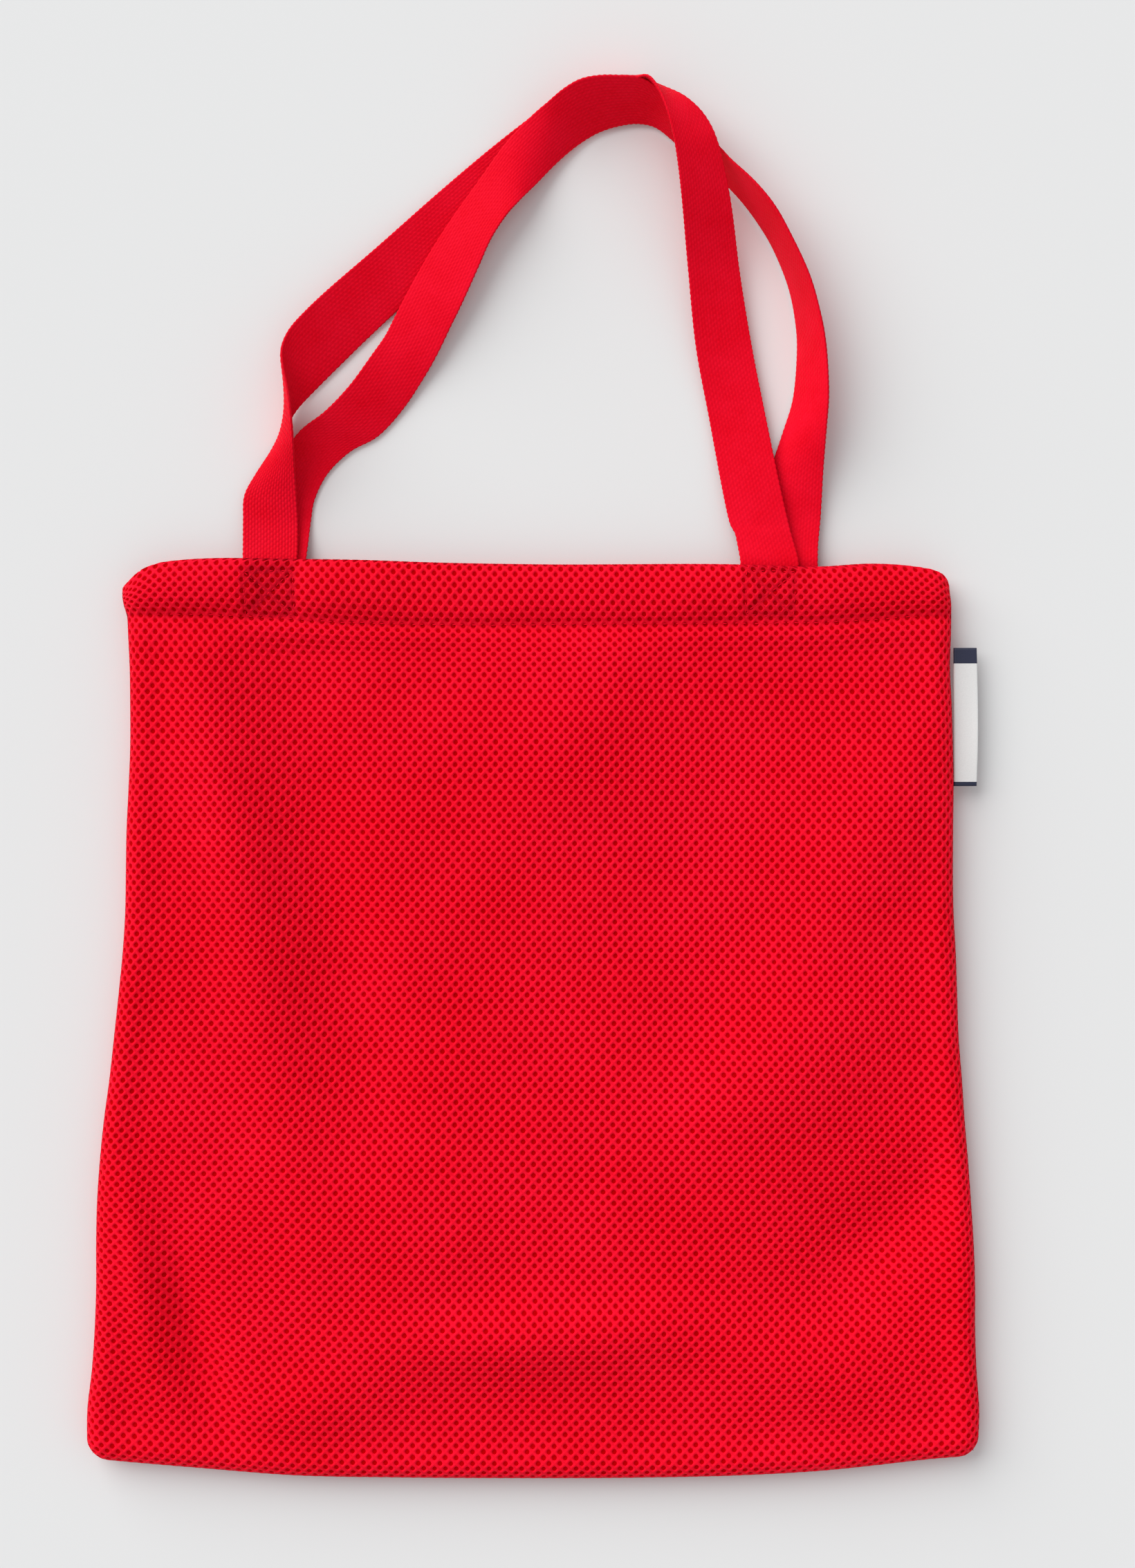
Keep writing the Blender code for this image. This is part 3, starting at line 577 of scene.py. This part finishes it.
# ---------------------------------------------------------------------------
# webbing handles
# ---------------------------------------------------------------------------
# Stations along each loop, from the left end to the right end: inner edge
# x, y, z and outer edge x, y, z. They follow the loops of the frame, with the
# front loop's roll at the left and the standing runs at the top drawn closer.
FRONT_LOOP = [
    (-128.0, 95.2, 8.95, -104.0, 95.2, 8.95),
    (-128.2, 102.5, 6.6, -104.0, 102.5, 6.8),
    (-128.4, 113.0, 4.4, -104.2, 113.0, 5.2),
    (-128.0, 124.0, 3.2, -104.6, 124.5, 7.5),
    (-123.0, 133.5, 2.6, -104.8, 136.6, 13.0),
    (-117.0, 142.5, 2.0, -104.8, 149.0, 19.5),
    (-113.8, 148.0, 1.3, -105.6, 159.5, 21.5),
    (-111.2, 152.6, 1.0, -107.2, 169.5, 20.0),
    (-108.2, 157.6, 1.0, -109.6, 179.5, 16.5),
    (-104.4, 163.2, 1.0, -110.4, 188.0, 13.5),
    (-98.1, 169.9, 1.0, -107.4, 196.0, 12.0),
    (-87.6, 180.4, 1.0, -101.0, 203.8, 11.0),
    (-72.0, 195.6, 1.0, -89.8, 215.0, 9.0),
    (-50.6, 215.6, 1.0, -68.6, 234.0, 6.6),
    (-26.2, 239.1, 1.0, -44.0, 256.5, 4.0),
    (-3.4, 261.4, 1.0, -20.6, 276.8, 2.4),
    (12.6, 277.4, 1.0, -1.0, 292.4, 1.6),
    (24.0, 289.0, 3.0, 11.0, 300.8, 1.2),
    (31.0, 296.0, 8.0, 21.0, 306.2, 1.2),
    (38.0, 301.6, 14.0, 31.5, 309.9, 1.2),
    (45.0, 304.4, 19.6, 40.5, 310.5, 1.6),
    (50.2, 304.5, 23.2, 47.8, 308.4, 4.0),
    (54.4, 298.0, 26.6, 57.4, 301.8, 15.0),
    (57.6, 289.6, 28.6, 66.8, 296.0, 20.0),
    (60.2, 280.0, 29.0, 75.4, 286.8, 21.8),
    (62.4, 269.5, 27.4, 81.2, 273.6, 22.2),
    (64.8, 252.0, 22.8, 86.6, 250.5, 16.6),
    (68.0, 223.4, 12.4, 91.2, 221.0, 7.4),
    (71.8, 189.8, 5.6, 96.4, 191.2, 4.2),
    (77.8, 158.6, 2.6, 101.8, 163.8, 4.2),
    (83.2, 129.0, 3.6, 108.2, 131.8, 6.0),
    (86.6, 112.4, 5.2, 112.4, 112.8, 6.4),
    (89.0, 107.4, 6.2, 113.6, 107.6, 7.0),
    (90.0, 102.5, 7.2, 115.0, 102.5, 7.6),
    (91.2, 95.2, 8.95, 116.8, 95.2, 8.95),
]
BACK_LOOP = [
    (-100.4, 95.2, 6.25, -124.8, 95.2, 6.25),
    (-99.8, 102.5, 3.6, -124.4, 102.5, 3.8),
    (-98.8, 112.8, 1.2, -123.4, 112.4, 1.6),
    (-97.0, 122.9, 1.0, -121.2, 123.8, 1.6),
    (-91.2, 134.2, 1.0, -114.2, 137.4, 3.4),
    (-81.1, 144.0, 1.0, -103.6, 151.8, 6.4),
    (-69.0, 150.7, 1.0, -92.0, 160.6, 8.4),
    (-58.2, 162.2, 1.4, -81.2, 172.0, 8.2),
    (-49.0, 175.4, 3.0, -71.0, 186.6, 6.0),
    (-42.6, 186.0, 5.4, -65.6, 194.6, 4.6),
    (-36.8, 197.4, 7.6, -61.8, 202.0, 4.3),
    (-31.4, 208.0, 9.4, -55.2, 214.8, 4.4),
    (-24.0, 224.0, 11.0, -46.0, 231.0, 4.8),
    (-18.5, 236.0, 12.2, -36.0, 246.4, 5.4),
    (-12.0, 246.0, 12.6, -24.0, 263.0, 6.0),
    (-6.0, 253.0, 11.0, -12.5, 278.6, 7.5),
    (1.6, 261.6, 7.0, -1.8, 289.2, 11.0),
    (9.0, 270.0, 4.4, 6.6, 295.6, 15.0),
    (16.6, 277.2, 3.0, 13.5, 300.6, 17.6),
    (23.6, 282.4, 2.2, 20.8, 304.2, 19.4),
    (30.4, 286.0, 2.0, 29.0, 305.6, 20.0),
    (38.4, 288.4, 2.0, 38.0, 305.6, 20.0),
    (46.5, 289.3, 2.0, 47.0, 304.8, 20.0),
    (54.5, 287.6, 1.6, 55.6, 300.0, 17.8),
    (62.5, 281.5, 1.2, 64.0, 291.6, 17.4),
    (71.5, 273.4, 1.0, 73.0, 282.6, 18.0),
    (79.4, 268.0, 1.0, 81.5, 274.5, 18.8),
    (83.4, 264.6, 1.0, 86.3, 268.8, 20.4),
    (92.2, 255.4, 1.0, 96.4, 258.6, 23.4),
    (99.8, 245.3, 1.0, 104.8, 247.8, 25.2),
    (106.7, 233.6, 1.0, 111.6, 235.8, 25.0),
    (113.2, 217.4, 1.0, 119.8, 218.4, 24.6),
    (116.4, 202.0, 1.0, 124.6, 202.4, 24.0),
    (117.2, 187.8, 1.0, 127.4, 187.4, 23.4),
    (115.4, 167.4, 1.2, 128.8, 167.4, 21.4),
    (110.6, 151.6, 1.2, 128.4, 153.2, 17.2),
    (104.2, 131.8, 1.0, 127.8, 134.8, 9.0),
    (102.2, 115.0, 1.0, 127.2, 116.0, 4.4),
    (101.2, 103.0, 3.4, 126.0, 103.0, 4.6),
    (100.9, 95.2, 6.25, 125.6, 95.2, 6.25),
]


def catmull(stations, n):
    """n points along a smooth curve through the stations, evenly spaced."""
    s = np.array(stations, float)
    mid = (s[:, :3] + s[:, 3:]) / 2
    d = np.sqrt(np.linalg.norm(np.diff(mid, axis=0), axis=1))
    t = np.concatenate([[0], np.cumsum(d)])
    dense = []
    for i in range(len(s) - 1):
        p0, p1 = s[max(i - 1, 0)], s[i]
        p2, p3 = s[i + 1], s[min(i + 2, len(s) - 1)]
        u = np.linspace(0, 1, 40, endpoint=False)[:, None]
        dense.append(0.5 * (2 * p1 + (p2 - p0) * u + (2 * p0 - 5 * p1 + 4 * p2 - p3) * u**2
                            + (3 * p1 - p0 - 3 * p2 + p3) * u**3))
    dense = np.concatenate(dense + [s[-1:]])
    mid = (dense[:, :3] + dense[:, 3:]) / 2
    arc = np.concatenate([[0], np.cumsum(np.linalg.norm(np.diff(mid, axis=0), axis=1))])
    want = np.linspace(0, arc[-1], n)
    return np.stack([np.interp(want, arc, dense[:, k]) for k in range(6)], 1), arc[-1]


def webbing(name, loop, z_end):
    """Woven band: staggered yarn floats stand out of both faces, and the
    selvedges are finely toothed. The ends run down inside the hem."""
    tail_y = [Y_HEM + 1.6, Y_HEM + 8.0, Y_HEM + 16.0, Y_HEM + 22.0]
    first, last = loop[0], loop[-1]
    head = [(first[0], y, z_end, first[3], y, z_end) for y in tail_y]
    foot = [(last[0], y, z_end, last[3], y, z_end) for y in reversed(tail_y)]
    stations = head + list(loop) + foot
    yarns, steps, pitch = 18, 3, 2.3
    _, length = catmull(stations, 50)
    rows = int(round(length / pitch)) * 4 + 1
    s, length = catmull(stations, rows)
    a, b = s[:, :3], s[:, 3:]
    # soften the run so that the band has no sharp kinks
    for _ in range(6):
        a[1:-1] = 0.25 * a[:-2] + 0.5 * a[1:-1] + 0.25 * a[2:]
        b[1:-1] = 0.25 * b[:-2] + 0.5 * b[1:-1] + 0.25 * b[2:]
    n_c = yarns * steps + 1
    f = np.linspace(0, 1, n_c)
    tooth = 0.12 * np.cos(np.arange(rows) * math.pi / 2)
    across = b - a
    width = np.linalg.norm(across, axis=1, keepdims=True)
    across = across / np.maximum(width, 1e-6)
    a2, b2 = a - across * tooth[:, None], b + across * tooth[:, None]
    grid = a2[:, None, :] + (b2 - a2)[:, None, :] * f[None, :, None]
    along = np.gradient((a + b) / 2, axis=0)
    along /= np.maximum(np.linalg.norm(along, axis=1, keepdims=True), 1e-6)
    du = np.gradient(grid, axis=0)
    dv = np.gradient(grid, axis=1)
    nrm = np.cross(dv, du)
    nrm /= np.maximum(np.linalg.norm(nrm, axis=2, keepdims=True), 1e-6)
    r = np.arange(rows)[:, None]
    c = np.arange(n_c)[None, :]
    yarn = c // steps
    in_yarn = (c % steps)
    across_h = np.where(in_yarn == 0, 0.0, 1.0)
    phase = (r + 2 * (yarn % 2)) % 4
    along_h = np.choose(phase, [0.15, 0.8, 1.0, 0.8])
    relief = across_h * along_h
    edge_fade = np.minimum(1, np.minimum(c, n_c - 1 - c) / 2.0)
    half = 0.42
    top = grid + nrm * (half + 0.36 * relief * edge_fade)[..., None]
    under = grid - nrm * (half + 0.26 * relief * edge_fade)[..., None]
    verts = np.concatenate([top.reshape(-1, 3), under.reshape(-1, 3)])
    idx = np.arange(rows * n_c).reshape(rows, n_c)
    off = rows * n_c
    q_top = np.stack([idx[:-1, :-1], idx[:-1, 1:], idx[1:, 1:], idx[1:, :-1]], -1).reshape(-1, 4)
    q_und = q_top[:, ::-1] + off
    left = np.stack([idx[:-1, 0], idx[1:, 0], idx[1:, 0] + off, idx[:-1, 0] + off], -1)
    right = np.stack([idx[:-1, -1], idx[:-1, -1] + off, idx[1:, -1] + off, idx[1:, -1]], -1)
    start = np.stack([idx[0, :-1], idx[0, :-1] + off, idx[0, 1:] + off, idx[0, 1:]], -1)
    end = np.stack([idx[-1, :-1], idx[-1, 1:], idx[-1, 1:] + off, idx[-1, :-1] + off], -1)
    obj = build_mesh(name, verts, [q_top, q_und, left, right, start, end], [WEB])
    # painted shade: darker in the valleys between the yarn floats, weaker on the under face, whose floats are also
    # darker
    lift = np.broadcast_to(relief, (rows, n_c)).astype(np.float32).ravel()
    set_point_value(obj, "weave_painted_shade", np.concatenate([lift, 0.62 + 0.2 * lift]))
    return obj, length, float(width.mean())


front_strap, front_len, front_w = webbing("front_handle_webbing", FRONT_LOOP, 8.95)
back_strap, back_len, back_w = webbing("back_handle_webbing", BACK_LOOP, 6.25)
print("strap lengths", front_len, back_len)


# ---------------------------------------------------------------------------
# sewing threads
# ---------------------------------------------------------------------------
def on_cloth(surface, up, x, y):
    """Points of the outer face above plan positions, and the normals there."""
    x, y = np.asarray(x, float), np.asarray(y, float)
    p = P * (x + 190) / 380
    q = Q * (y - Y_BOTTOM + 4) / 452
    for _ in range(14):
        f = surface(p, q)
        fp, fq = surface(p + 0.2, q), surface(p, q + 0.2)
        a, b = (fp[..., 0] - f[..., 0]) / 0.2, (fq[..., 0] - f[..., 0]) / 0.2
        c, d = (fp[..., 1] - f[..., 1]) / 0.2, (fq[..., 1] - f[..., 1]) / 0.2
        det = a * d - b * c
        det = np.where(np.abs(det) < 0.3, 0.3, det)
        ex, ey = x - f[..., 0], y - f[..., 1]
        p = np.clip(p + 0.8 * np.clip((d * ex - b * ey) / det, -12, 12), 2, P - 2)
        q = np.clip(q + 0.8 * np.clip((a * ey - c * ex) / det, -12, 12), 2, Q * 0.945)
    f = surface(p, q)
    return np.stack([x, y, f[..., 2]], -1), surface_normals(surface, p, q, up)


def stitches(name, runs, front, lift, pitch=2.9, gap=0.5, r=0.24, seed=1):
    """Single stitches laid end to end along runs in plan, each a small
    capsule that follows the cloth under it."""
    rng = np.random.default_rng(seed)
    surface, _ = cloth_surface(front)
    up = 1.0 if front else -1.0
    ring = 6
    prof = [(-0.5, 0.25), (-0.42, 0.8), (-0.2, 1.0), (0.2, 1.0), (0.42, 0.8), (0.5, 0.25)]
    centres, sides, weights, drops = [], [], [], []
    for run in runs:
        pts = np.array(run, float)
        arc = np.concatenate([[0], np.cumsum(np.hypot(*np.diff(pts, axis=0).T))])
        length = arc[-1]
        n = max(1, int(round(length / pitch)))
        for i in range(n):
            c0, c1 = length * i / n + gap / 2, length * (i + 1) / n - gap / 2
            mid, span = (c0 + c1) / 2, (c1 - c0) * rng.uniform(0.86, 1.0)
            off = rng.normal(0, 0.10, 2)
            t = mid + np.array([f for f, _ in prof]) * span
            cx, cy = np.interp(t, arc, pts[:, 0]), np.interp(t, arc, pts[:, 1])
            ux, uy = cx[-1] - cx[0], cy[-1] - cy[0]
            ul = math.hypot(ux, uy)
            turn = rng.normal(0, 0.05)
            ux, uy = ux / ul, uy / ul
            cx = cx - uy * (t - mid) * turn + off[0]
            cy = cy + ux * (t - mid) * turn + off[1]
            centres.append(np.stack([cx, cy], 1))
            sides.append(np.tile([-uy, ux], (len(prof), 1)))
            weights.append([w for _, w in prof])
            drops.append([0.34 * (abs(f) * 2) ** 2 for f, _ in prof])
    centres, sides = np.array(centres), np.array(sides)
    weights, drops = np.array(weights), np.array(drops)
    pos, nrm = on_cloth(surface, up, centres[..., 0], centres[..., 1])
    # leave out the fold of each fibre: the normal is the mean over a stitch
    nrm = nrm.mean(axis=1, keepdims=True)
    nrm = nrm / np.linalg.norm(nrm, axis=-1, keepdims=True)
    base = pos + nrm * (lift - drops)[..., None]
    side = np.concatenate([sides, np.zeros(sides.shape[:2] + (1,))], -1)
    th = 2 * math.pi * np.arange(ring) / ring
    verts = (base[:, :, None, :] + r * weights[:, :, None, None]
             * (np.cos(th)[None, None, :, None] * side[:, :, None, :] + np.sin(th)[None, None, :, None] * nrm[:, :, None, :]))
    n_st, n_pr = len(base), len(prof)
    idx = np.arange(n_st * n_pr * ring).reshape(n_st, n_pr, ring)
    nxt = np.roll(idx, -1, 2)
    quads = np.stack([idx[:, :-1], idx[:, 1:], nxt[:, 1:], nxt[:, :-1]], -1).reshape(-1, 4)
    caps0, caps1 = idx[:, 0, :], idx[:, -1, ::-1]
    polys = [quads, caps0, caps1]
    if up > 0:
        polys = [f[:, ::-1] for f in polys]
    return build_mesh(name, verts.reshape(-1, 3), polys, [THREAD])


def hem_run(dy):
    xs = np.linspace(-166.0, 169.0, 60)
    return [(x, Y_HEM + dy + float(SEAMLINE(x))) for x in xs]


thread_pieces = []
for label, front, boxes in (("front", True, FRONT_BOXES), ("back", False, BACK_BOXES)):
    obj = stitches(f"{label}_hem_thread", [hem_run(0.3)], front, 0.02, seed=3)
    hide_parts(f"{label}_hem_stitch")
    thread_pieces.append(obj)
    for k, (side, (cx, tilt)) in enumerate(zip(("left", "right"), boxes)):
        obj = stitches(f"{label}_{side}_box_thread", box_runs(cx, tilt), front, 0.02, pitch=2.6, r=0.2, seed=11 + k)
        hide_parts(f"{label}_{side}_box_stitch")
        thread_pieces.append(obj)
for obj in thread_pieces:
    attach(obj, "bag")

# ---------------------------------------------------------------------------
# side label: a folded satin tape with no lettering
# ---------------------------------------------------------------------------
def tape_material():
    mat, nt, bsdf = new_material("label_tape_weave")
    tc = node(nt, "ShaderNodeTexCoord")
    sep = node(nt, "ShaderNodeSeparateXYZ")
    nt.links.new(tc.outputs["Object"], sep.inputs[0])
    span = node(nt, "ShaderNodeMapRange")
    span.inputs["From Min"].default_value = (-4.6 + SHIFT[1]) * MM
    span.inputs["From Max"].default_value = (56.4 + SHIFT[1]) * MM
    nt.links.new(sep.outputs["Y"], span.inputs["Value"])
    white, dark = (0.83, 0.83, 0.82), (0.012, 0.016, 0.05)
    col = ramp(nt, span.outputs["Result"], [(0.0, dark), (0.03, white), (0.885, dark), (0.99, dark)])
    col.color_ramp.interpolation = "CONSTANT"
    weave = noise(nt, tc.outputs["Object"], 1800.0, 2.0)
    mixc = node(nt, "ShaderNodeMix", data_type="RGBA", blend_type="MULTIPLY")
    mixc.inputs[0].default_value = 0.12
    nt.links.new(col.outputs["Color"], mixc.inputs[6])
    nt.links.new(weave.outputs["Fac"], mixc.inputs[7])
    nt.links.new(mixc.outputs[2], bsdf.inputs["Base Color"])
    bsdf.inputs["Roughness"].default_value = 0.45
    bsdf.inputs["Sheen Weight"].default_value = 0.2
    b = node(nt, "ShaderNodeBump")
    b.inputs["Strength"].default_value = 0.3
    b.inputs["Distance"].default_value = 0.0002
    nt.links.new(weave.outputs["Fac"], b.inputs["Height"])
    nt.links.new(b.outputs["Normal"], bsdf.inputs["Normal"])
    return mat


def label_piece():
    x0, x1, y0, y1 = 185.4, 196.0, -4.6, 56.4
    t, gap = 0.32, 0.42
    # loop of tape in the X-Z plane: out along the top, round the fold, back below
    outer, inner = [], []
    rf = gap / 2 + t
    for x in np.linspace(x0, x1 - rf, 12):
        outer.append((x, rf))
        inner.append((x, rf - t))
    for k in range(1, 12):
        a = math.pi / 2 - math.pi * k / 12
        outer.append((x1 - rf + rf * math.cos(a), rf * math.sin(a)))
        inner.append((x1 - rf + (rf - t) * math.cos(a), (rf - t) * math.sin(a)))
    for x in np.linspace(x1 - rf, x0, 12):
        outer.append((x, -rf))
        inner.append((x, -rf + t))
    prof = np.array(outer + inner[::-1])
    n = len(prof)
    ys = np.linspace(y0, y1, 60)
    verts = []
    for y in ys:
        f = (y - y0) / (y1 - y0)
        lift = 0.9 * math.sin(math.pi * f) + 0.25 * math.sin(7 * f)
        bow = 0.5 * math.sin(math.pi * f)
        for x, z in prof:
            g = (x - x0) / (x1 - x0)
            verts.append((x + bow * g - 0.4 * g, y, Z_SEAM + z + lift * g * g))
    idx = np.arange(len(ys) * n).reshape(len(ys), n)
    quads = np.stack([idx[:-1], np.roll(idx, -1, 1)[:-1], np.roll(idx, -1, 1)[1:], idx[1:]], -1).reshape(-1, 4)
    m = n // 2
    caps = []
    for k in range(m - 1):
        caps.append((idx[0, k], idx[0, n - 1 - k], idx[0, n - 2 - k], idx[0, k + 1]))
        caps.append((idx[-1, k], idx[-1, k + 1], idx[-1, n - 2 - k], idx[-1, n - 1 - k]))
    return build_mesh("side_label_tape", np.array(verts), [quads, np.array(caps)], [tape_material()])


label = label_piece()
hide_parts("side_label")
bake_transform(label)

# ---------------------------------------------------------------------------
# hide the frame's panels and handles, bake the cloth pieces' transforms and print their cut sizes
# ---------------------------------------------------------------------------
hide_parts("front_panel_upper", "front_panel_lower")
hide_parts("back_panel_upper", "back_panel_lower")
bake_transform(front_panel)
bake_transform(back_panel)


def cut_size(front):
    """Flat width, length and area of a panel before it is hemmed, in metres."""
    s_len, path = cloth_path(front)
    e = np.linspace(0, s_len[-1], 400)
    yn = np.where(e < ARC, Y_BOTTOM + EDGE, np.interp(e, s_len, path[:, 0]))
    width = (RIGHT(yn) - LEFT(yn)) + 2 * (ARC - EDGE)
    area = float(np.mean(width) * s_len[-1]) * MM * MM
    return float(width.max()) * MM, float(s_len[-1]) * MM, area


for panel, front, under in ((front_panel, True, "back_panel"), (back_panel, False, "floor")):
    cut_w, cut_l, cut_area = cut_size(front)
    print("cut", panel.name, cut_w, cut_l, cut_area)
print("strap widths", front_w, back_w)

for strap, nodes, body in (
    (front_strap, ("front_handle", "front_handle_left_end", "front_handle_right_end"), "front_loop"),
    (back_strap, ("back_handle", "back_handle_left_end", "back_handle_right_end"), "back_loop"),
):
    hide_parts(*nodes)
    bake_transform(strap)

# seam threads stay as the frame has them, with the thread's finish
for n in ("left_side_seam", "right_side_seam", "bottom_seam"):
    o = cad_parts[n]
    o.data.materials.clear()
    o.data.materials.append(THREAD)

# ---------------------------------------------------------------------------
# floor, light and camera
# ---------------------------------------------------------------------------
def floor_plane():
    mat, nt, bsdf = new_material("pale_floor")
    bsdf.inputs["Base Color"].default_value = (0.83, 0.83, 0.83, 1)
    bsdf.inputs["Roughness"].default_value = 0.85
    bsdf.inputs["Specular IOR Level"].default_value = 0.2
    me = bpy.data.meshes.new("floor")
    s = 6.0
    me.from_pydata([(-s, -s, 0), (s, -s, 0), (s, s, 0), (-s, s, 0)], [], [(0, 1, 2, 3)])
    me.materials.append(mat)
    o = bpy.data.objects.new("floor", me)
    o.location = (0, 0, -0.0003)
    bpy.context.scene.collection.objects.link(o)
    return o


floor_plane()

world = bpy.data.worlds.new("studio")
bpy.context.scene.world = world
world.use_nodes = True
bg = world.node_tree.nodes["Background"]
bg.inputs["Color"].default_value = (0.97, 0.985, 1.0, 1)
bg.inputs["Strength"].default_value = 0.54


def sun(name, azimuth, elevation, strength, spread, color=(1, 1, 1)):
    """A far, soft light. azimuth is where it comes from, counted from +X."""
    from mathutils import Vector
    data = bpy.data.lights.new(name, "SUN")
    data.energy = strength
    data.angle = math.radians(spread)
    data.color = color
    o = bpy.data.objects.new(name, data)
    bpy.context.scene.collection.objects.link(o)
    az, el = math.radians(azimuth), math.radians(elevation)
    toward = Vector((-math.cos(az) * math.cos(el), -math.sin(az) * math.cos(el), -math.sin(el)))
    o.rotation_mode = "QUATERNION"
    o.rotation_quaternion = toward.to_track_quat("-Z", "Y")
    return o


sun("window", 134, 32, 2.62, 62, (1.0, 0.995, 0.985))

cam_data = bpy.data.cameras.new("camera")
cam = bpy.data.objects.new("camera", cam_data)
bpy.context.scene.collection.objects.link(cam)
PX = 0.305                                  # millimetres per pixel of the frame
DIST = 1.1
cx = ((820.5 - 771) * PX + SHIFT[0]) * MM
cy = ((1122 - 1134) * PX + SHIFT[1]) * MM
cam.location = (cx, cy, DIST + 0.008)
cam.rotation_euler = (0, 0, 0)
cam_data.sensor_fit = "AUTO"
cam_data.sensor_width = 36.0
cam_data.lens = 36.0 * DIST / (2268 * PX * MM)
cam_data.clip_start, cam_data.clip_end = 0.01, 20
bpy.context.scene.camera = cam
bpy.context.scene.view_settings.view_transform = "Standard"
bpy.context.scene.view_settings.look = "None"
